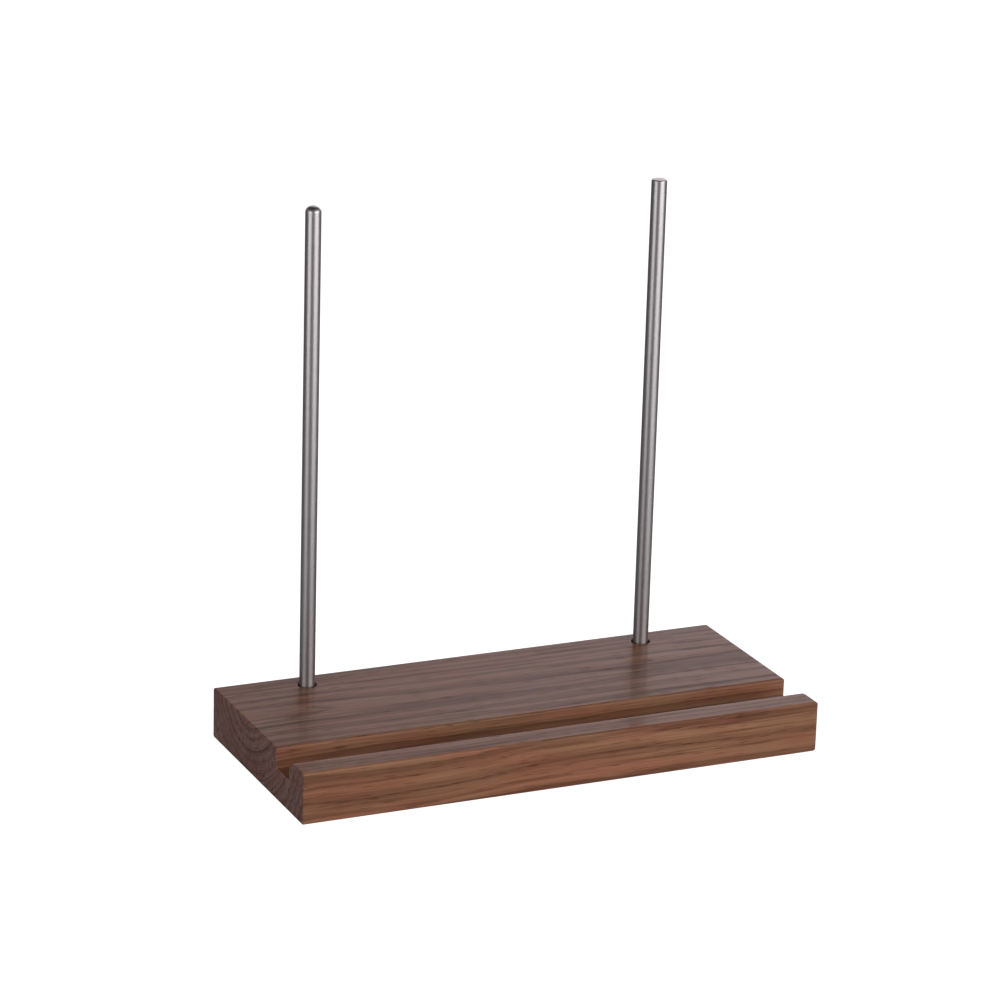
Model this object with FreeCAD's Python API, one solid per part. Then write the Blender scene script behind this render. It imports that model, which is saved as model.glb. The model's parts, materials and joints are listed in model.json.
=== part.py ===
# Desktop newspaper stand: a grooved wooden base with two upright steel rods.
# The paper stands in the slot behind the front lip and leans back on the rods.
# Sizes are in millimetres. The origin is the middle of the footprint, on the
# surface the stand rests on. +X runs along the slot, +Y to the back, +Z up.
import FreeCAD, Part
import math
import os

# Base: one flat board, its grain along X
base_width = 210.0
base_depth = 93.0
base_thickness = 20.0
arris_radius = 1.0  # upper edges along the board
foot_arris_radius = 1.0  # lower edges along the board
left_end_arris_radius = 0.6  # edges round the left end face, only just broken
right_end_arris_radius = 1.6  # edges round the right end face

# Slot for the paper, and the lip that stays in front of it
lip_depth = 14.3
lip_rounding = 4.8  # inner edge of the lip, where the paper is slipped in
slot_width = 12.7
slot_depth = 7.9
slot_corner_radius = 0.5

# Rods: round bar with a shouldered, threaded spigot at the lower end
rod_diameter = 6.0
rod_reach = 186.5  # height above the board
rod_spacing = 141.0
rod_back_margin = 9.1  # rod axis to the board's back face
left_tip_radius = 2.2  # well domed
right_tip_radius = 0.5  # edge only just broken
spigot_shoulder = 0.5  # step from the bar down to the thread
spigot_overrun = 0.5  # spigot past the insert's lower end
spigot_chamfer = 0.6

# Threaded inserts, screwed into drilled holes below the board's top
hole_gap = 0.6  # rod to the side of its hole
hole_mouth_radius = 0.5
insert_sink = 2.0  # top of the insert below the board's top
insert_length = 12.0
insert_plain_end = 1.0
insert_ridge_pitch = 2.0
insert_ridge_height = 0.5
driver_slot_width = 1.2
driver_slot_depth = 1.5
thread_clearance = 0.05
hole_relief = 2.0  # drilled on below the insert

# Anti-slip pads under the board
pad_diameter = 12.0
pad_thickness = 1.0
pad_end_inset = 15.0
pad_side_inset = 14.0

# Levels and places that follow from the sizes above
front_y = -base_depth / 2
back_y = base_depth / 2
board_bottom_z = pad_thickness
board_top_z = board_bottom_z + base_thickness
slot_front_y = front_y + lip_depth
slot_back_y = slot_front_y + slot_width
slot_floor_z = board_top_z - slot_depth
rod_y = back_y - rod_back_margin
rod_radius = rod_diameter / 2
spigot_radius = rod_radius - spigot_shoulder
hole_radius = rod_radius + hole_gap
insert_top_z = board_top_z - insert_sink
insert_bottom_z = insert_top_z - insert_length
hole_bottom_z = insert_bottom_z - hole_relief
overcut = 1.0  # cutting tools run this far past the face they open


def vector_yz(y, z):
    return FreeCAD.Vector(0, y, z)


def rounded_face(corners):
    """Flat face in the YZ plane; each corner is (y, z, corner radius)."""
    starts = []
    ends = []
    arcs = []
    for index, (y, z, radius) in enumerate(corners):
        corner = vector_yz(y, z)
        last_y, last_z, _ = corners[index - 1]
        next_y, next_z, _ = corners[(index + 1) % len(corners)]
        to_last = (vector_yz(last_y, last_z) - corner).normalize()
        to_next = (vector_yz(next_y, next_z) - corner).normalize()
        half_angle = to_last.getAngle(to_next) / 2
        tangent = radius / math.tan(half_angle)
        inward = (to_last + to_next).normalize()
        start = corner + to_last * tangent
        middle = corner + inward * (radius / math.sin(half_angle) - radius)
        end = corner + to_next * tangent
        starts.append(start)
        ends.append(end)
        arcs.append(Part.Arc(start, middle, end).toShape())
    edges = []
    for index, arc in enumerate(arcs):
        edges.append(Part.LineSegment(ends[index - 1], starts[index]).toShape())
        edges.append(arc)
    return Part.Face(Part.Wire(edges))


def turned(outline, x, y):
    """Solid of revolution from (radius, z) points, on a vertical axis at x, y."""
    points = [FreeCAD.Vector(radius, 0, z) for radius, z in outline]
    face = Part.Face(Part.makePolygon(points + points[:1]))
    solid = face.revolve(FreeCAD.Vector(0, 0, 0), FreeCAD.Vector(0, 0, 1), 360)
    solid.translate(FreeCAD.Vector(x, y, 0))
    return solid


def upright_cylinder(radius, bottom_z, top_z, x, y):
    return Part.makeCylinder(radius, top_z - bottom_z, FreeCAD.Vector(x, y, bottom_z))


def base_board():
    """The board with its slot and rounded edges, before the holes are drilled."""
    outline = [
        (front_y, board_bottom_z, foot_arris_radius),
        (back_y, board_bottom_z, foot_arris_radius),
        (back_y, board_top_z, arris_radius),
        (slot_back_y, board_top_z, arris_radius),
        (slot_back_y, slot_floor_z, slot_corner_radius),
        (slot_front_y, slot_floor_z, slot_corner_radius),
        (slot_front_y, board_top_z, lip_rounding),
        (front_y, board_top_z, arris_radius),
    ]
    board = rounded_face(outline).extrude(FreeCAD.Vector(base_width, 0, 0))
    board.translate(FreeCAD.Vector(-base_width / 2, 0, 0))
    board = round_end(board, -base_width / 2, left_end_arris_radius)
    return round_end(board, base_width / 2, right_end_arris_radius)


def round_end(board, x, radius):
    """The board with the edges round its end face at x rounded."""
    end_edges = []
    for edge in board.Edges:
        box = edge.BoundBox
        if box.XLength < 0.001 and abs(box.XMin - x) < 0.001:
            end_edges.append(edge)
    return board.makeFillet(radius, end_edges)


def insert_blank(x):
    """Outside of an insert, which is also the shape it presses into the wood."""
    crest_radius = hole_radius + insert_ridge_height
    ridged_length = insert_length - 2 * insert_plain_end
    ridge_count = int(ridged_length // insert_ridge_pitch)
    outline = [(0, insert_bottom_z), (hole_radius, insert_bottom_z)]
    for ridge in range(ridge_count):
        root_z = insert_bottom_z + insert_plain_end + ridge * insert_ridge_pitch
        outline.append((hole_radius, root_z))
        outline.append((crest_radius, root_z + insert_ridge_pitch / 2))
    last_root_z = insert_bottom_z + insert_plain_end + ridge_count * insert_ridge_pitch
    outline.append((hole_radius, last_root_z))
    outline.append((hole_radius, insert_top_z))
    outline.append((0, insert_top_z))
    return turned(outline, x, rod_y)


def threaded_insert(x):
    """Insert with a plain bore at the thread's size and a screwdriver slot."""
    bore_radius = spigot_radius + thread_clearance
    bore = upright_cylinder(
        bore_radius, insert_bottom_z - overcut, insert_top_z + overcut, x, rod_y
    )
    slot_length = 2 * (hole_radius + overcut)
    driver_slot = Part.makeBox(
        slot_length,
        driver_slot_width,
        driver_slot_depth + overcut,
        FreeCAD.Vector(
            x - slot_length / 2,
            rod_y - driver_slot_width / 2,
            insert_top_z - driver_slot_depth,
        ),
    )
    return insert_blank(x).cut(bore).cut(driver_slot)


def base_block(rod_places):
    """The finished board, drilled for the inserts."""
    block = base_board()
    for x in rod_places:
        hole = upright_cylinder(
            hole_radius, hole_bottom_z, board_top_z + overcut, x, rod_y
        )
        block = block.cut(hole).cut(insert_blank(x))
    mouths = []
    for edge in block.Edges:
        if edge.Degenerated or edge.Curve.TypeId != "Part::GeomCircle":
            continue
        level = abs(edge.Curve.Center.z - board_top_z) < 0.001
        if level and abs(edge.Curve.Radius - hole_radius) < 0.001:
            mouths.append(edge)
    return block.makeFillet(hole_mouth_radius, mouths)


def rod(x, tip_radius):
    """Round bar with a rounded tip, resting its shoulder on the insert's top."""
    tip_z = board_top_z + rod_reach
    spigot_bottom_z = insert_bottom_z - spigot_overrun
    outline = [
        (0, spigot_bottom_z),
        (spigot_radius - spigot_chamfer, spigot_bottom_z),
        (spigot_radius, spigot_bottom_z + spigot_chamfer),
        (spigot_radius, insert_top_z),
        (rod_radius, insert_top_z),
        (rod_radius, tip_z),
        (0, tip_z),
    ]
    bar = turned(outline, x, rod_y)
    tip_edges = []
    for edge in bar.Edges:
        box = edge.BoundBox
        if box.ZMin > tip_z - 0.001 and box.XLength > rod_radius:
            tip_edges.append(edge)
    return bar.makeFillet(tip_radius, tip_edges)


def pad(x, y):
    return upright_cylinder(pad_diameter / 2, 0, board_bottom_z, x, y)


def build_parts():
    """Every piece of the stand by name, in its place."""
    rod_places = {"left": -rod_spacing / 2, "right": rod_spacing / 2}
    tip_radii = {"left": left_tip_radius, "right": right_tip_radius}
    parts = {"base_block": base_block(rod_places.values())}
    for side, x in rod_places.items():
        parts[f"insert_{side}"] = threaded_insert(x)
        parts[f"rod_{side}"] = rod(x, tip_radii[side])
    pad_x = base_width / 2 - pad_end_inset
    pad_y = base_depth / 2 - pad_side_inset
    for row, row_sign in (("front", -1), ("back", 1)):
        for side, side_sign in (("left", -1), ("right", 1)):
            parts[f"pad_{row}_{side}"] = pad(side_sign * pad_x, row_sign * pad_y)
    return parts


os.makedirs("parts", exist_ok=True)
for name, shape in build_parts().items():
    (solid,) = shape.Solids
    solid.exportStep(f"parts/{name}.step")
    print(name, solid.isValid(), round(solid.Volume, 1))
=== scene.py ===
import json
import math

import bmesh
import bpy
from mathutils import Matrix, Vector


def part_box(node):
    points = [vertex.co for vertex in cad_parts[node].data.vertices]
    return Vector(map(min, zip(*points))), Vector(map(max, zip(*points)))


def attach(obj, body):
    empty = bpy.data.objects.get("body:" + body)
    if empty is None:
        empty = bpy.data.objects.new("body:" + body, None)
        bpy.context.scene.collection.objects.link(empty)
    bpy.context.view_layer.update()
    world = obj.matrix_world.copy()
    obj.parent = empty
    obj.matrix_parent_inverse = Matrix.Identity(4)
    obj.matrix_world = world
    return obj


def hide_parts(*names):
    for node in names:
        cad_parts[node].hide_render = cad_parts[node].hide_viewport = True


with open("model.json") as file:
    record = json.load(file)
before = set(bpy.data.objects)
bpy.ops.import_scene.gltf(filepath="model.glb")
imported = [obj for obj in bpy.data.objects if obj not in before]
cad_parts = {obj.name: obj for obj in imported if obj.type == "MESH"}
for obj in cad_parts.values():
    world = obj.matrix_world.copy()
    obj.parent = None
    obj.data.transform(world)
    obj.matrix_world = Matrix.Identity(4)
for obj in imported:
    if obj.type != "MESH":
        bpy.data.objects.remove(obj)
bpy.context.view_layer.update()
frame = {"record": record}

MM = 0.001

# ---------------------------------------------------------------------------
# Sizes, in metres. Places come from the frame; these are the shapes' own sizes.
# ---------------------------------------------------------------------------

ARRIS = 1.0 * MM  # upper edges along the board
FOOT_ARRIS = 1.0 * MM  # lower edges along the board
LEFT_END_ARRIS = 0.6 * MM  # edges round the left end face
RIGHT_END_ARRIS = 1.6 * MM
LEAST_ROUNDING = 0.05 * MM  # where an edge's own rounding runs out at the end faces
LIP_ROUNDING = 4.8 * MM
SLOT_WIDTH = 12.7 * MM
SLOT_CORNER = 0.5 * MM
HOLE_RADIUS = 3.6 * MM
HOLE_MOUTH = 0.5 * MM
HOLE_DEPTH = 16.0 * MM

TIP_ROUNDINGS = {"rod_left": 2.2 * MM, "rod_right": 0.5 * MM}
ROD_SHOULDER = 0.5 * MM  # step from the bar down to its thread
ROD_SINK = 2.0 * MM  # shoulder, and the insert's top, below the board's top
ROD_THREAD_PITCH = 0.8 * MM
ROD_THREAD_DEPTH = 0.45 * MM
ROD_THREAD_NECK = 0.9 * MM  # plain neck between thread and shoulder
ROD_POINT = 0.6 * MM  # chamfer at the spigot's lower end

INSERT_BORE = 2.55 * MM
INSERT_THREAD_PITCH = 2.0 * MM
INSERT_THREAD_DEPTH = 0.5 * MM
INSERT_PLAIN_END = 1.0 * MM
DRIVER_SLOT = (1.2 * MM, 1.5 * MM)  # width and depth

PAD_EDGE = 0.25 * MM

BOARD_LOW, BOARD_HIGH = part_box("base_block")
BOARD_TOP = BOARD_HIGH[2]
MOUNTS = {mount["name"]: mount for mount in frame["record"]["mounts"]}
SLOT_FLOOR = Vector(MOUNTS["paper_slot"]["pos_m"])
RODS = ("rod_left", "rod_right")
INSERTS = ("insert_left", "insert_right")
PADS = ("pad_front_left", "pad_front_right", "pad_back_left", "pad_back_right")


def middle(node):
    """Middle of a CAD node's box."""
    low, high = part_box(node)
    return (Vector(low) + Vector(high)) / 2


# ---------------------------------------------------------------------------
# Node helpers
# ---------------------------------------------------------------------------


class Wiring:
    """Adds nodes to one tree. An input takes another node's output or a value."""

    def __init__(self, tree):
        self.tree = tree

    def feed(self, socket, value):
        if isinstance(value, bpy.types.NodeSocket):
            self.tree.links.new(value, socket)
        else:
            socket.default_value = value

    def add(self, kind, inputs=(), **settings):
        node = self.tree.nodes.new(kind)
        for name, value in settings.items():
            setattr(node, name, value)
        for name, value in dict(inputs).items():
            self.feed(node.inputs[name], value)
        return node

    def math(self, operation, *values, clamp=False):
        node = self.add("ShaderNodeMath", operation=operation, use_clamp=clamp)
        for socket, value in zip(node.inputs, values):
            self.feed(socket, value)
        return node.outputs[0]

    def vector(self, operation, *values):
        node = self.add("ShaderNodeVectorMath", operation=operation)
        for socket, value in zip(node.inputs, values):
            self.feed(socket, value)
        return node.outputs[0]

    def scaled(self, vector, factor):
        node = self.add("ShaderNodeVectorMath", {0: vector, "Scale": factor}, operation="SCALE")
        return node.outputs[0]

    def stretched(self, vector, sizes):
        """The vector measured in these sizes, so that a pattern's cell is that large."""
        return self.vector("DIVIDE", vector, sizes)

    def noise(self, vector, detail=2.0, roughness=0.5, scale=1.0):
        inputs = {"Vector": vector, "Scale": scale, "Detail": detail, "Roughness": roughness}
        return self.add("ShaderNodeTexNoise", inputs, noise_dimensions="3D")

    def ramp(self, value, low, high, to_low=0.0, to_high=1.0, smooth=True):
        kind = "SMOOTHSTEP" if smooth else "LINEAR"
        inputs = {
            "Value": value,
            "From Min": low,
            "From Max": high,
            "To Min": to_low,
            "To Max": to_high,
        }
        return self.add("ShaderNodeMapRange", inputs, interpolation_type=kind).outputs[0]

    def blend(self, factor, first, second, blend_type="MIX"):
        node = self.add("ShaderNodeMix", data_type="RGBA", blend_type=blend_type)
        self.feed(node.inputs[0], factor)
        self.feed(node.inputs[6], first)
        self.feed(node.inputs[7], second)
        return node.outputs[2]


def new_material(name):
    material = bpy.data.materials.new(name)
    material.use_nodes = True
    material.node_tree.nodes.clear()
    return material, Wiring(material.node_tree)


def finish_material(wiring, shader_inputs):
    """Principled shader and output for a material."""
    shader = wiring.add("ShaderNodeBsdfPrincipled", shader_inputs)
    wiring.add("ShaderNodeOutputMaterial", {"Surface": shader.outputs[0]})
    return shader


def new_group(name, inputs, outputs):
    """Shader group with named sockets: (name, kind, default) in, (name, kind) out."""
    group = bpy.data.node_groups.new(name, "ShaderNodeTree")
    for socket_name, kind, default in inputs:
        socket = group.interface.new_socket(socket_name, in_out="INPUT", socket_type=kind)
        if default is not None:
            socket.default_value = default
    for socket_name, kind in outputs:
        group.interface.new_socket(socket_name, in_out="OUTPUT", socket_type=kind)
    wiring = Wiring(group)
    entry = wiring.add("NodeGroupInput")
    leave = wiring.add("NodeGroupOutput")
    return group, wiring, entry.outputs, leave.inputs


# ---------------------------------------------------------------------------
# Materials
# ---------------------------------------------------------------------------

# Wood, all lengths in millimetres. The rings bend round a heart above the board.
HEART = (0.0, 9.0, 43.0)
GRAIN_SLOPE = 0.012  # the grain climbs this much towards the right
BAND_PITCH = 4.2  # broad light and dark seasons
RING_PITCH = 1.3
PORE_SIZE = (9.0, 0.36, 0.36)
STREAK_SIZE = (95.0, 1.9, 1.9)
FIBRE_SIZE = (30.0, 0.35, 0.35)
CLOUD_SIZE = (90.0, 14.0, 14.0)
HUE_SIZE = (40.0, 7.0, 7.0)

LATE_WOOD = (0.240, 0.118, 0.066, 1.0)
RED_WOOD = (0.228, 0.096, 0.055, 1.0)
EARLY_WOOD = (0.066, 0.025, 0.014, 1.0)
PORE_STAIN = (0.026, 0.010, 0.007, 1.0)
# End faces: darker where the end grain soaks up more stain, and bluer from a painted violet
# reflection of the room.
END_GRAIN_AND_SHEEN_TINT = (0.73, 0.90, 1.34, 1.0)
# Arrises: lighter where the stain is sanded thin, and a painted highlight along the rounded edges.
RUBBED_AND_HIGHLIGHT_TINT = (1.25, 1.22, 1.18, 1.0)


def wood_position(wood):
    """Object coordinates in millimetres, with the grain's slope, slow waver and ripple."""
    place = wood.add("ShaderNodeTexCoord").outputs["Object"]
    place = wood.scaled(place, 1 / MM)
    axes = wood.add("ShaderNodeSeparateXYZ", {"Vector": place}).outputs
    lift = wood.math("MULTIPLY", axes["X"], -GRAIN_SLOPE)
    slope = wood.add("ShaderNodeCombineXYZ", {"Z": lift}).outputs[0]
    place = wood.vector("ADD", place, slope)
    slow = wood.noise(wood.stretched(place, (110.0, 30.0, 30.0)), detail=1.0)
    waver = wood.vector("SUBTRACT", slow.outputs["Color"], (0.5, 0.5, 0.5))
    place = wood.vector("ADD", place, wood.vector("MULTIPLY", waver, (0.0, 5.0, 5.0)))
    ripple = wood.noise(wood.stretched(place, (26.0, 3.0, 3.0)), detail=2.0)
    waver = wood.vector("SUBTRACT", ripple.outputs["Color"], (0.5, 0.5, 0.5))
    return wood.vector("ADD", place, wood.vector("MULTIPLY", waver, (0.0, 1.1, 1.1)))


def growth_rings(wood, place, pitch):
    """How far across its ring each point is, 0 to 1, and a tone that differs ring by ring."""
    across = wood.vector("SUBTRACT", place, HEART)
    across = wood.vector("MULTIPLY", across, (0.0, 1.0, 1.0))
    radius = wood.add("ShaderNodeVectorMath", {0: across}, operation="LENGTH").outputs["Value"]
    count = wood.math("DIVIDE", radius, pitch)
    uneven = wood.add(
        "ShaderNodeTexNoise", {"W": count, "Scale": 0.45, "Detail": 1.0}, noise_dimensions="1D"
    )
    count = wood.math("ADD", count, wood.math("MULTIPLY", uneven.outputs[0], 1.6))
    phase = wood.math("FRACT", count)
    year = wood.math("FLOOR", count)
    tone = wood.add("ShaderNodeTexWhiteNoise", {"W": year}, noise_dimensions="1D").outputs["Value"]
    return phase, tone


def wood_pores(wood, place, share):
    """Long open pores, dark and sunk; share is how many of them are there."""
    cells = wood.add(
        "ShaderNodeTexVoronoi",
        {"Vector": wood.stretched(place, PORE_SIZE), "Scale": 1.0, "Randomness": 1.0},
        feature="F1",
        voronoi_dimensions="3D",
    )
    inside = wood.ramp(cells.outputs["Distance"], 0.46, 0.20)
    chance = wood.add("ShaderNodeSeparateColor", {"Color": cells.outputs["Color"]}).outputs[0]
    present = wood.math("LESS_THAN", chance, share)
    return wood.math("MULTIPLY", inside, present)


def wood_figure(wood, place):
    """Masks for the marks in the wood: season bands, rings, pores and dark streaks."""
    phase, tone = growth_rings(wood, place, BAND_PITCH)
    band = wood.math("MULTIPLY", wood.ramp(phase, 0.75, 0.0), wood.ramp(phase, 0.0, 0.10))
    band = wood.math("MULTIPLY", band, wood.ramp(tone, 0.0, 1.0, 0.35, 1.0, smooth=False))
    phase, tone = growth_rings(wood, place, RING_PITCH)
    ring = wood.math("MULTIPLY", wood.ramp(phase, 0.5, 0.0), wood.ramp(phase, 0.0, 0.10))
    ring = wood.math("MULTIPLY", ring, wood.ramp(tone, 0.1, 0.9, 0.1, 1.0, smooth=False))
    pores = wood_pores(wood, place, wood.ramp(ring, 0.0, 1.0, 0.10, 0.8, smooth=False))
    long_noise = wood.noise(wood.stretched(place, STREAK_SIZE), detail=2.0, roughness=0.55)
    streaks = wood.ramp(long_noise.outputs[0], 0.50, 0.68)
    return band, ring, pores, streaks


def wood_colour(wood, place, band, ring, pores, streaks):
    """Stained colour of the long grain."""
    hue = wood.noise(wood.stretched(place, HUE_SIZE), detail=1.0).outputs[0]
    colour = wood.blend(wood.ramp(hue, 0.35, 0.65), LATE_WOOD, RED_WOOD)
    colour = wood.blend(wood.math("MULTIPLY", band, 0.62), colour, EARLY_WOOD)
    colour = wood.blend(wood.math("MULTIPLY", ring, 0.55), colour, EARLY_WOOD)
    fibre = wood.noise(wood.stretched(place, FIBRE_SIZE), detail=2.0).outputs[0]
    cloud = wood.noise(wood.stretched(place, CLOUD_SIZE), detail=2.0).outputs[0]
    fibre_tone = wood.ramp(fibre, 0.3, 0.7, 0.86, 1.12, smooth=False)
    cloud_tone = wood.ramp(cloud, 0.3, 0.7, 0.90, 1.10, smooth=False)
    colour = wood.scaled(colour, wood.math("MULTIPLY", fibre_tone, cloud_tone))
    colour = wood.blend(wood.math("MULTIPLY", streaks, 0.58), colour, EARLY_WOOD)
    return wood.blend(wood.math("MULTIPLY", pores, 0.6), colour, PORE_STAIN)


def end_grain_and_sheen_colour(wood, colour, ring):
    """The same colour, turning duller and more clearly ringed on the two end faces, and tinted bluer
    there by a painted violet reflection.
    """
    normal = wood.add("ShaderNodeTexCoord").outputs["Normal"]
    facing = wood.add("ShaderNodeSeparateXYZ", {"Vector": normal}).outputs["X"]
    end_grain = wood.ramp(wood.math("ABSOLUTE", facing), 0.55, 0.95)
    # Painted violet reflection, mixed in with the end grain's darker stain.
    soaked_and_sheened = wood.blend(1.0, colour, END_GRAIN_AND_SHEEN_TINT, "MULTIPLY")
    soaked_and_sheened = wood.blend(wood.math("MULTIPLY", ring, 0.7), soaked_and_sheened, EARLY_WOOD)
    return wood.blend(end_grain, colour, soaked_and_sheened)


def lacquer_weight(wood, arris_mask, band, ring, pores, streaks):
    """How much lacquer lies on the wood: little in open grain and on rubbed edges."""
    open_grain = wood.math("ADD", wood.math("MULTIPLY", band, 0.4), wood.math("MULTIPLY", ring, 0.3))
    open_grain = wood.math("ADD", open_grain, wood.math("MULTIPLY", streaks, 0.6))
    open_grain = wood.math("ADD", open_grain, pores, clamp=True)
    lacquer = wood.ramp(open_grain, 0.0, 0.8, 0.125, 0.01, smooth=False)
    return wood.math("MULTIPLY", lacquer, wood.ramp(arris_mask, 0.0, 1.0, 1.0, 0.35, smooth=False))


def stained_wood():
    """Open-grained board, dark walnut stain under a satin lacquer."""
    material, wood = new_material("stained_wood")
    place = wood_position(wood)
    band, ring, pores, streaks = wood_figure(wood, place)
    arris_mask = wood.add("ShaderNodeAttribute", attribute_name="arris").outputs["Fac"]
    colour = wood_colour(wood, place, band, ring, pores, streaks)
    colour = end_grain_and_sheen_colour(wood, colour, ring)
    # Painted highlight along the arrises, together with lighter sanded-through stain.
    rubbed_and_highlit = wood.blend(1.0, colour, RUBBED_AND_HIGHLIGHT_TINT, "MULTIPLY")
    colour = wood.blend(wood.math("MULTIPLY", arris_mask, 0.2), colour, rubbed_and_highlit)
    height = wood.math("MULTIPLY", pores, -1.0)
    height = wood.math("ADD", height, wood.math("MULTIPLY", ring, -0.5))
    height = wood.math("ADD", height, wood.math("MULTIPLY", streaks, -0.5))
    bump = wood.add(
        "ShaderNodeBump", {"Height": height, "Strength": 0.5, "Distance": 0.05 * MM}
    )
    finish_material(
        wood,
        {
            "Base Color": colour,
            "Roughness": wood.ramp(pores, 0.0, 1.0, 0.45, 0.7, smooth=False),
            "Specular IOR Level": 0.08,
            "Coat Weight": lacquer_weight(wood, arris_mask, band, ring, pores, streaks),
            "Coat Roughness": 0.10,
            "Coat IOR": 1.5,
            "Normal": bump.outputs[0],
        },
    )
    return material


def turning_marks_group():
    """Fine lines and wider smudges on a turned piece, from its own (turn, along) place."""
    group, marks, entry, leave = new_group(
        "turning_marks",
        [("Place", "NodeSocketVector", None), ("Spacing", "NodeSocketFloat", 0.1)],
        [("Lines", "NodeSocketFloat"), ("Smudge", "NodeSocketFloat")],
    )
    axes = marks.add("ShaderNodeSeparateXYZ", {"Vector": entry["Place"]}).outputs
    along = marks.math("DIVIDE", axes["Y"], entry["Spacing"])
    spot = marks.add("ShaderNodeCombineXYZ", {"X": axes["X"], "Y": along}).outputs[0]
    marks.feed(leave["Lines"], marks.noise(spot, detail=3.0, roughness=0.6).outputs[0])
    wide = marks.vector("MULTIPLY", entry["Place"], (3.0, 0.12, 1.0))
    marks.feed(leave["Smudge"], marks.noise(wide, detail=3.0, roughness=0.6).outputs[0])
    return group


def marked_metal(metal, marks_group, place, spacing, colour, shine_range):
    """Colour, roughness and normal of a metal with turning marks."""
    marks = metal.add("ShaderNodeGroup", node_tree=marks_group)
    metal.feed(marks.inputs["Place"], place)
    metal.feed(marks.inputs["Spacing"], spacing)
    low = tuple(channel * 0.93 for channel in colour) + (1.0,)
    high = tuple(min(channel * 1.05, 1.0) for channel in colour) + (1.0,)
    tint = metal.blend(metal.ramp(marks.outputs["Lines"], 0.35, 0.65), low, high)
    shine = metal.ramp(marks.outputs["Smudge"], 0.3, 0.7, *shine_range, smooth=False)
    bump = metal.add(
        "ShaderNodeBump",
        {"Height": marks.outputs["Lines"], "Strength": 0.03, "Distance": 0.004 * MM},
    )
    return {
        "Base Color": tint,
        "Metallic": 1.0,
        "Roughness": shine,
        "Normal": bump.outputs[0],
    }


def ground_steel(marks_group):
    """Stainless bar, centreless ground: fine lines round it draw highlights along it."""
    material, steel = new_material("ground_steel")
    place = steel.add("ShaderNodeUVMap", uv_map="turning").outputs[0]
    inputs = marked_metal(steel, marks_group, place, 0.06, (0.355, 0.337, 0.341), (0.37, 0.40))
    tangent = steel.add("ShaderNodeTangent", direction_type="UV_MAP", uv_map="turning").outputs[0]
    inputs["Anisotropic"] = 0.42
    inputs["Anisotropic Rotation"] = 0.25
    inputs["Tangent"] = tangent
    finish_material(steel, inputs)
    return material


def turned_brass(marks_group):
    """Free-cutting brass, turned and left bright."""
    material, brass = new_material("turned_brass")
    place = brass.add("ShaderNodeUVMap", uv_map="turning").outputs[0]
    inputs = marked_metal(brass, marks_group, place, 0.15, (0.80, 0.58, 0.30), (0.24, 0.40))
    finish_material(brass, inputs)
    return material


def pad_rubber():
    """Soft black rubber with a fine pebbled skin."""
    material, rubber = new_material("pad_rubber")
    place = rubber.add("ShaderNodeTexCoord").outputs["Object"]
    grain = rubber.noise(place, detail=3.0, roughness=0.6, scale=2600.0).outputs[0]
    cloud = rubber.noise(place, detail=2.0, scale=240.0).outputs[0]
    colour = rubber.blend(
        rubber.ramp(cloud, 0.35, 0.65), (0.016, 0.016, 0.017, 1.0), (0.034, 0.033, 0.032, 1.0)
    )
    bump = rubber.add(
        "ShaderNodeBump", {"Height": grain, "Strength": 0.4, "Distance": 0.03 * MM}
    )
    finish_material(
        rubber,
        {
            "Base Color": colour,
            "Roughness": rubber.ramp(grain, 0.3, 0.7, 0.62, 0.85, smooth=False),
            "Specular IOR Level": 0.4,
            "Normal": bump.outputs[0],
        },
    )
    return material


# ---------------------------------------------------------------------------
# Shapes
# ---------------------------------------------------------------------------


def finished_piece(name, mesh_data, material):
    """Object at the origin from a bmesh, with faces outward and smooth."""
    mesh = bpy.data.meshes.new(name)
    bmesh.ops.recalc_face_normals(mesh_data, faces=mesh_data.faces)
    mesh_data.to_mesh(mesh)
    mesh_data.free()
    mesh.materials.append(material)
    mesh.shade_smooth()
    piece = bpy.data.objects.new(name, mesh)
    bpy.context.scene.collection.objects.link(piece)
    return piece


def arc(centre, radius, start, end, steps):
    """Points on an arc in a plane, ends included; angles in degrees."""
    points = []
    for step in range(steps + 1):
        angle = math.radians(start + (end - start) * step / steps)
        points.append(
            (centre[0] + radius * math.cos(angle), centre[1] + radius * math.sin(angle))
        )
    return points


def board_section(inset):
    """Outline (y, z, arris weight) of the board across its grain, moved in by inset."""
    front, back = BOARD_LOW[1], BOARD_HIGH[1]
    bottom, top = BOARD_LOW[2], BOARD_TOP
    slot_front = SLOT_FLOOR.y - SLOT_WIDTH / 2
    slot_back = SLOT_FLOOR.y + SLOT_WIDTH / 2
    floor = SLOT_FLOOR.z
    # corner, its rounding, direction of its first and last radius, sign of y and z into the wood
    corners = (
        (front, bottom, FOOT_ARRIS, 180, 270, 1, 1),
        (back, bottom, FOOT_ARRIS, 270, 360, -1, 1),
        (back, top, ARRIS, 0, 90, -1, -1),
        (slot_back, top, ARRIS, 90, 180, 1, -1),
        (slot_back, floor, SLOT_CORNER, 360, 270, 1, -1),
        (slot_front, floor, SLOT_CORNER, 270, 180, -1, -1),
        (slot_front, top, LIP_ROUNDING, 0, 90, -1, -1),
        (front, top, ARRIS, 90, 180, 1, -1),
    )
    outline = []
    for y, z, rounding, start, end, into_y, into_z in corners:
        hollow = rounding == SLOT_CORNER
        if hollow:
            radius = rounding + inset
            reach = inset - radius
        else:
            radius = max(rounding - inset, LEAST_ROUNDING)
            reach = inset + radius
        centre_y = y + into_y * reach
        centre_z = z + into_z * reach
        steps = 16 if rounding == LIP_ROUNDING else 8
        for index, (point_y, point_z) in enumerate(
            arc((centre_y, centre_z), radius, start, end, steps)
        ):
            weight = 0.0 if hollow else math.sin(math.pi * index / steps)
            if rounding == LIP_ROUNDING:
                weight *= 0.3
            outline.append((point_y, point_z, weight))
    return outline


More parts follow.
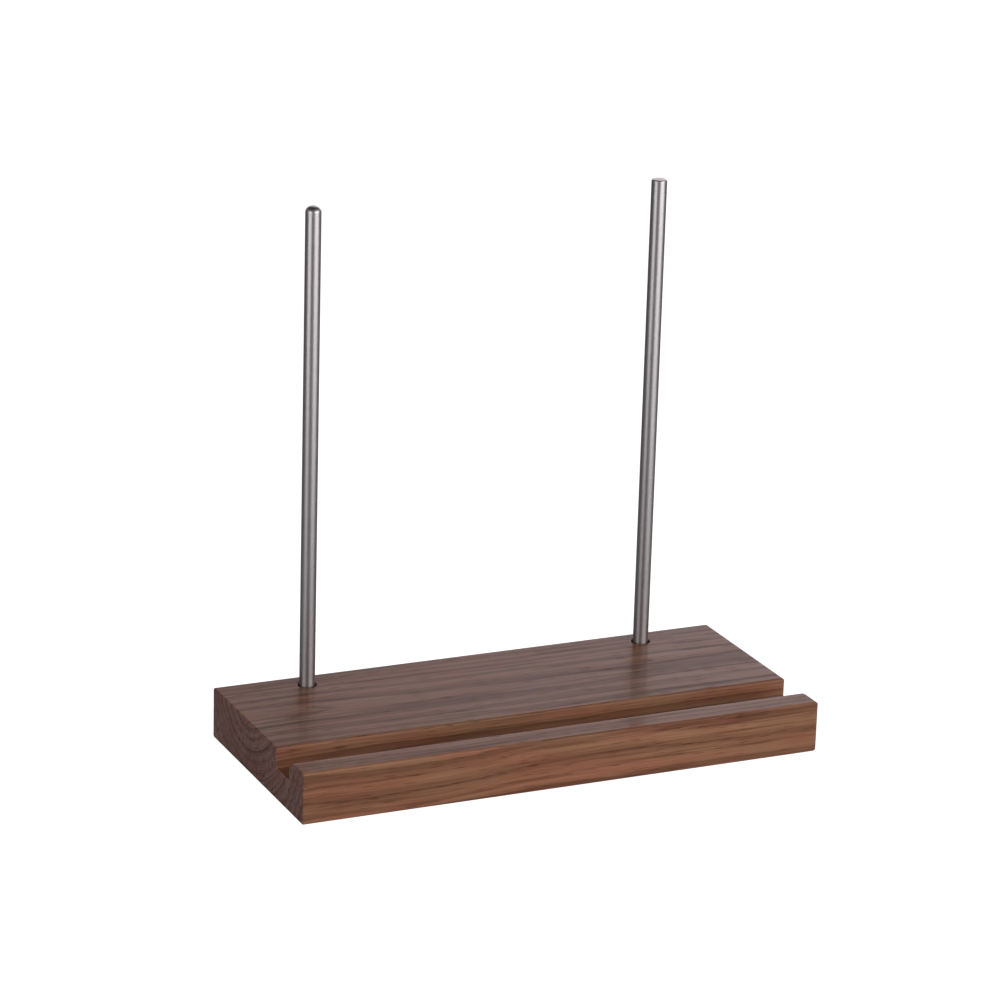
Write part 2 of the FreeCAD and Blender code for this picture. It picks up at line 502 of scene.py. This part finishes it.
def rounded_end(x, into, rounding):
    """Sections (x, inset, arris weight) from one end face inwards, over its rounded edges."""
    steps = 8
    rows = []
    for step in range(steps + 1):
        angle = math.pi / 2 * step / steps
        inset = rounding * (1 - math.sin(angle))
        rows.append((x + into * rounding * (1 - math.cos(angle)), inset, math.sin(2 * angle)))
    return rows


def base_board(material):
    """The slotted board with rounded edges and its two drilled holes."""
    block = bmesh.new()
    arris_mask = block.verts.layers.float.new("arris")
    rows = rounded_end(BOARD_HIGH[0], -1, RIGHT_END_ARRIS)
    rows += reversed(rounded_end(BOARD_LOW[0], 1, LEFT_END_ARRIS))
    loops = []
    for x, inset, end_weight in rows:
        loop = []
        for y, z, weight in board_section(inset):
            vertex = block.verts.new((x, y, z))
            vertex[arris_mask] = max(weight, end_weight)
            loop.append(vertex)
        loops.append(loop)
    for first, second in zip(loops, loops[1:]):
        for index in range(len(first)):
            following = (index + 1) % len(first)
            block.faces.new((first[index], first[following], second[following], second[index]))
    block.faces.new(loops[0])
    block.faces.new(loops[-1])
    drill_holes(block)
    bmesh.ops.remove_doubles(block, verts=block.verts, dist=0.001 * MM)
    board = finished_piece("base_board", block, material)
    even = board.modifiers.new("flat_faces_stay_flat", "WEIGHTED_NORMAL")
    even.keep_sharp = True
    even.weight = 100
    return board


def drill_holes(block):
    """Opens both rod holes in the board's top and lines them with walls."""
    block.faces.ensure_lookup_table()
    rod_y = middle(RODS[0]).y
    top_face = None
    for face in block.faces:
        level = all(abs(vertex.co.z - BOARD_TOP) < 0.01 * MM for vertex in face.verts)
        sides = [vertex.co.y for vertex in face.verts]
        if level and min(sides) < rod_y < max(sides):
            top_face = face
    border = list(top_face.edges)
    bmesh.ops.delete(block, geom=[top_face], context="FACES_ONLY")
    for rod in RODS:
        axis = middle(rod)
        mouth = arc((HOLE_RADIUS + HOLE_MOUTH, BOARD_TOP - HOLE_MOUTH), HOLE_MOUTH, 90, 180, 5)
        profile = mouth + [(HOLE_RADIUS, BOARD_TOP - HOLE_DEPTH)]
        rings = turned_rings(block, profile, axis.x, axis.y, 64)
        block.faces.new(rings[-1])
        border += rim_edges(rings[0])
    bmesh.ops.triangle_fill(block, use_beauty=True, use_dissolve=False, edges=border)


def rim_edges(ring):
    """Edges round one ring of vertices."""
    edges = []
    for first, second in zip(ring, ring[1:] + ring[:1]):
        for edge in first.link_edges:
            if edge.other_vert(first) is second:
                edges.append(edge)
    return edges


def turned_rings(mesh_data, profile, x, y, segments):
    """Rings of vertices for a turned profile of (radius, z), joined by faces."""
    rings = []
    for radius, z in profile:
        ring = []
        for segment in range(segments):
            angle = 2 * math.pi * segment / segments
            ring.append(
                mesh_data.verts.new((x + radius * math.cos(angle), y + radius * math.sin(angle), z))
            )
        rings.append(ring)
    for lower, upper in zip(rings, rings[1:]):
        for segment in range(segments):
            following = (segment + 1) % segments
            mesh_data.faces.new((lower[segment], lower[following], upper[following], upper[segment]))
    return rings


def turned_uv(piece, x, y):
    """UV map for a turned piece: U in turns round its axis, V in millimetres along it."""
    layer = piece.data.uv_layers.new(name="turning")
    for polygon in piece.data.polygons:
        turns = []
        for loop in polygon.loop_indices:
            point = piece.data.vertices[piece.data.loops[loop].vertex_index].co
            turns.append(math.atan2(point.y - y, point.x - x) / (2 * math.pi) % 1.0)
        wraps = max(turns) - min(turns) > 0.5
        for loop, turn in zip(polygon.loop_indices, turns):
            point = piece.data.vertices[piece.data.loops[loop].vertex_index].co
            if wraps and turn < 0.5:
                turn += 1.0
            out = math.hypot(point.x - x, point.y - y)
            layer.data[loop].uv = (turn, (point.z + out) / MM)


def thread_tree():
    """Geometry Nodes: a ridge winding round the Z axis like a screw thread."""
    tree = bpy.data.node_groups.new("screw_thread", "GeometryNodeTree")
    for name in ("Core Radius", "Ridge Height", "Pitch", "Length"):
        tree.interface.new_socket(name, in_out="INPUT", socket_type="NodeSocketFloat")
    tree.interface.new_socket("Metal", in_out="INPUT", socket_type="NodeSocketMaterial")
    tree.interface.new_socket("Mesh", in_out="OUTPUT", socket_type="NodeSocketGeometry")
    nodes = Wiring(tree)
    entry = nodes.add("NodeGroupInput").outputs
    turns = nodes.math("DIVIDE", entry["Length"], entry["Pitch"])
    path = nodes.add(
        "GeometryNodeCurveSpiral",
        {
            "Resolution": 40,
            "Rotations": turns,
            "Start Radius": entry["Core Radius"],
            "End Radius": entry["Core Radius"],
            "Height": entry["Length"],
        },
    ).outputs[0]
    path = nodes.add("GeometryNodeSetCurveNormal", {"Curve": path}, mode="Z_UP").outputs[0]
    ring = nodes.add("GeometryNodeCurvePrimitiveCircle", {"Resolution": 4}).outputs[0]
    half_pitch = nodes.math("MULTIPLY", entry["Pitch"], 0.44)
    scale = nodes.add("ShaderNodeCombineXYZ", {"X": entry["Ridge Height"], "Y": half_pitch})
    section = nodes.add(
        "GeometryNodeTransform", {"Geometry": ring, "Scale": scale.outputs[0]}
    ).outputs[0]
    ridge = nodes.add(
        "GeometryNodeCurveToMesh", {"Curve": path, "Profile Curve": section, "Fill Caps": True}
    ).outputs[0]
    ridge = nodes.add("GeometryNodeRealizeInstances", {"Geometry": ridge}).outputs[0]
    ridge = nodes.add(
        "GeometryNodeSetMaterial", {"Geometry": ridge, "Material": entry["Metal"]}
    ).outputs[0]
    nodes.add("NodeGroupOutput", {"Mesh": ridge})
    return tree


def wind_thread(piece_data, tree, place, sizes, material):
    """Adds a thread's ridge to a bmesh: place is its lower end, sizes fill the tree's inputs."""
    carrier = bpy.data.objects.new("thread", bpy.data.meshes.new("thread"))
    bpy.context.scene.collection.objects.link(carrier)
    winding = carrier.modifiers.new("winding", "NODES")
    winding.node_group = tree
    inputs = [item for item in tree.interface.items_tree if item.in_out == "INPUT"]
    for item in inputs:
        winding[item.identifier] = material if item.name == "Metal" else sizes[item.name]
    bpy.context.view_layer.update()
    shaped = carrier.evaluated_get(bpy.context.evaluated_depsgraph_get())
    ridge = bpy.data.meshes.new_from_object(shaped)
    ridge.transform(Matrix.Translation(place))
    bpy.data.objects.remove(carrier)
    piece_data.from_mesh(ridge)
    bpy.data.meshes.remove(ridge)


def steel_rod(node, tip_rounding, tree, material):
    """Ground round bar: rounded tip, long shank, square shoulder, threaded spigot."""
    low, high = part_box(node)
    axis = middle(node)
    radius = (high[0] - low[0]) / 2
    crest = radius - ROD_SHOULDER
    core = crest - ROD_THREAD_DEPTH
    shoulder = BOARD_TOP - ROD_SINK
    edge_break = 0.08 * MM
    profile = arc((radius - tip_rounding, high[2] - tip_rounding), tip_rounding, 90, 0, 12)
    profile.append((radius, shoulder + edge_break))
    profile.append((radius - edge_break, shoulder))
    profile.append((core, shoulder))
    profile.append((core, low[2] + ROD_POINT))
    profile.append((core - ROD_POINT, low[2]))
    bar = bmesh.new()
    rings = turned_rings(bar, profile, axis.x, axis.y, 64)
    bar.faces.new(rings[0])
    bar.faces.new(rings[-1])
    thread_low = low[2] + ROD_POINT + ROD_THREAD_PITCH / 2
    sizes = {
        "Core Radius": core,
        "Ridge Height": ROD_THREAD_DEPTH,
        "Pitch": ROD_THREAD_PITCH,
        "Length": shoulder - ROD_THREAD_NECK - thread_low,
    }
    wind_thread(bar, tree, (axis.x, axis.y, thread_low), sizes, material)
    rod = finished_piece(f"{node}_bar", bar, material)
    turned_uv(rod, axis.x, axis.y)
    rod.data.set_sharp_from_angle(angle=math.radians(40))
    return rod


def threaded_insert(node, tree, material):
    """Brass sleeve: coarse wood thread outside, bored through, slotted for a driver."""
    low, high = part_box(node)
    axis = middle(node)
    crest = (high[0] - low[0]) / 2
    core = crest - INSERT_THREAD_DEPTH
    edge = 0.15 * MM
    profile = [
        (core - edge, low[2]),
        (core, low[2] + edge),
        (core, high[2] - edge),
        (core - edge, high[2]),
        (INSERT_BORE + edge, high[2]),
        (INSERT_BORE, high[2] - edge),
        (INSERT_BORE, low[2] + edge),
        (INSERT_BORE + edge, low[2]),
    ]
    sleeve = bmesh.new()
    turned_rings(sleeve, profile + profile[:1], axis.x, axis.y, 64)
    bmesh.ops.remove_doubles(sleeve, verts=sleeve.verts, dist=0.001 * MM)
    slotted = cut_driver_slot(finished_piece("sleeve", sleeve, material), axis, high[2], crest)
    body = bmesh.new()
    body.from_mesh(slotted)
    bpy.data.meshes.remove(slotted)
    sizes = {
        "Core Radius": core,
        "Ridge Height": INSERT_THREAD_DEPTH,
        "Pitch": INSERT_THREAD_PITCH,
        "Length": high[2] - low[2] - 2 * INSERT_PLAIN_END - INSERT_THREAD_PITCH,
    }
    thread_low = low[2] + INSERT_PLAIN_END + INSERT_THREAD_PITCH / 2
    wind_thread(body, tree, (axis.x, axis.y, thread_low), sizes, material)
    insert = finished_piece(f"{node}_sleeve", body, material)
    turned_uv(insert, axis.x, axis.y)
    insert.data.set_sharp_from_angle(angle=math.radians(40))
    return insert


def cut_driver_slot(sleeve, axis, top, reach):
    """Mesh of the sleeve with a slot across its top; the sleeve's object is used up."""
    width, depth = DRIVER_SLOT
    box = bmesh.new()
    bmesh.ops.create_cube(box, size=2.0)
    bmesh.ops.scale(box, vec=(reach * 1.2, width / 2, depth), verts=box.verts)
    bmesh.ops.translate(box, vec=(axis.x, axis.y, top), verts=box.verts)
    cutter = finished_piece("slot_cutter", box, sleeve.data.materials[0])
    cut = sleeve.modifiers.new("driver_slot", "BOOLEAN")
    cut.object = cutter
    cut.solver = "EXACT"
    bpy.context.view_layer.update()
    shaped = sleeve.evaluated_get(bpy.context.evaluated_depsgraph_get())
    result = bpy.data.meshes.new_from_object(shaped)
    bpy.data.objects.remove(sleeve)
    bpy.data.objects.remove(cutter)
    return result


def rubber_pad(node, material):
    """Thin round pad with softened edges and a shallow dished rim underneath."""
    low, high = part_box(node)
    axis = middle(node)
    radius = (high[0] - low[0]) / 2
    pad = bmesh.new()
    profile = [(radius - 1.8 * MM, low[2] + 0.12 * MM), (radius - 1.4 * MM, low[2])]
    profile += arc((radius - PAD_EDGE, low[2] + PAD_EDGE), PAD_EDGE, 270, 360, 5)
    profile += arc((radius - PAD_EDGE, high[2] - PAD_EDGE), PAD_EDGE, 0, 90, 5)
    rings = turned_rings(pad, profile, axis.x, axis.y, 64)
    pad.faces.new(rings[0])
    pad.faces.new(rings[-1])
    piece = finished_piece(f"{node}_rubber", pad, material)
    piece.data.set_sharp_from_angle(angle=math.radians(50))
    return piece


# ---------------------------------------------------------------------------
# Stage
# ---------------------------------------------------------------------------

CAMERA_AIM = Vector((-11.74, -5.25, 101.4)) * MM
CAMERA_DISTANCE = 1.447
CAMERA_AZIMUTH = -24.70  # degrees, 0 looks along +Y
CAMERA_ELEVATION = 17.96
CAMERA_ROLL = 1.68
CAMERA_LENS = 140.8


def direction(azimuth, elevation):
    """Unit vector from the stand towards a place round it; degrees."""
    turn, rise = math.radians(azimuth), math.radians(elevation)
    return Vector(
        (math.sin(turn) * math.cos(rise), -math.cos(turn) * math.cos(rise), math.sin(rise))
    )


def aimed(place, target):
    """Matrix of a camera or light at place, looking at target, with its top up."""
    back = (place - target).normalized()
    right = Vector((0, 0, 1)).cross(back).normalized()
    up = back.cross(right)
    turn = Matrix((right, up, back)).transposed().to_4x4()
    return Matrix.Translation(place) @ turn


def set_camera():
    camera = bpy.data.objects.new("camera", bpy.data.cameras.new("camera"))
    bpy.context.scene.collection.objects.link(camera)
    camera.data.lens = CAMERA_LENS
    camera.data.clip_start = 0.05
    place = CAMERA_AIM + direction(CAMERA_AZIMUTH, CAMERA_ELEVATION) * CAMERA_DISTANCE
    roll = Matrix.Rotation(math.radians(CAMERA_ROLL), 4, "Z")
    camera.matrix_world = aimed(place, CAMERA_AIM) @ roll
    bpy.context.scene.camera = camera


def softbox(name, azimuth, elevation, distance, width, height, power):
    """Rectangular area light aimed at the stand; azimuth counts from the camera's."""
    light = bpy.data.lights.new(name, "AREA")
    light.shape = "RECTANGLE"
    light.size = width
    light.size_y = height
    light.energy = power
    lamp = bpy.data.objects.new(name, light)
    bpy.context.scene.collection.objects.link(lamp)
    target = Vector((0, 0, 0.08))
    place = target + direction(CAMERA_AZIMUTH + azimuth, elevation) * distance
    lamp.matrix_world = aimed(place, target)


def white_floor():
    """Pale floor: near white to the camera, a calm grey in reflections."""
    material, paint = new_material("floor_paint")
    seen = paint.add("ShaderNodeLightPath").outputs["Is Camera Ray"]
    matt = paint.add("ShaderNodeBsdfDiffuse", {"Color": (0.42, 0.42, 0.43, 1.0)}).outputs[0]
    strength = paint.math("MULTIPLY", seen, 1.0)
    glow = paint.add("ShaderNodeEmission", {"Strength": strength}).outputs[0]
    both = paint.add("ShaderNodeAddShader", {0: matt, 1: glow}).outputs[0]
    paint.add("ShaderNodeOutputMaterial", {"Surface": both})
    floor = bmesh.new()
    bmesh.ops.create_grid(floor, x_segments=1, y_segments=1, size=6.0)
    piece = finished_piece("floor", floor, material)


def room():
    """Soft room light: even round the sides, dim overhead, most behind on the right."""
    world = bpy.data.worlds.new("studio")
    bpy.context.scene.world = world
    world.use_nodes = True
    light = Wiring(world.node_tree)
    ahead = direction(CAMERA_AZIMUTH, 0)
    aside = direction(CAMERA_AZIMUTH + 90, 0)
    place = light.add("ShaderNodeTexCoord").outputs["Generated"]

    def towards(axis):
        node = light.add("ShaderNodeVectorMath", {0: place, 1: axis}, operation="DOT_PRODUCT")
        return node.outputs["Value"]

    facing = towards(ahead)
    sideways = towards(aside)
    walls = light.ramp(sideways, -0.9, 0.9, 0.34, 0.58, smooth=False)
    height = light.ramp(towards((0.0, 0.0, 1.0)), 0.35, 0.65, 1.0, 0.1)
    walls = light.math("MULTIPLY", walls, height)
    behind = light.ramp(facing, -0.6, -0.9)
    glow = light.math("MULTIPLY", light.ramp(sideways, -0.11, 0.12, 0.45, 1.9), behind)
    background = world.node_tree.nodes["Background"]
    background.inputs["Color"].default_value = (1.0, 0.93, 0.99, 1.0)
    light.feed(background.inputs["Strength"], light.math("ADD", walls, glow))


def studio():
    bpy.context.scene.view_settings.view_transform = "Standard"
    room()
    softbox("softbox_right", 54, 9, 1.0, 1.15, 0.80, 12.3)
    softbox("softbox_left", -45, 8, 1.0, 0.75, 0.50, 4.4)
    white_floor()


# ---------------------------------------------------------------------------
# The stand
# ---------------------------------------------------------------------------


def build_stand():
    wood = stained_wood()
    marks = turning_marks_group()
    steel = ground_steel(marks)
    brass = turned_brass(marks)
    rubber = pad_rubber()
    thread = thread_tree()

    board = base_board(wood)
    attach(board, "base")
    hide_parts("base_block")

    for node, body in zip(RODS, ("left_rod", "right_rod")):
        rod = steel_rod(node, TIP_ROUNDINGS[node], thread, steel)
        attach(rod, body)
        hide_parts(node)

    for node in INSERTS:
        insert = threaded_insert(node, thread, brass)
        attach(insert, "base")
        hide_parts(node)

    for node in PADS:
        pad = rubber_pad(node, rubber)
        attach(pad, "base")
        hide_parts(node)


set_camera()
studio()
build_stand()
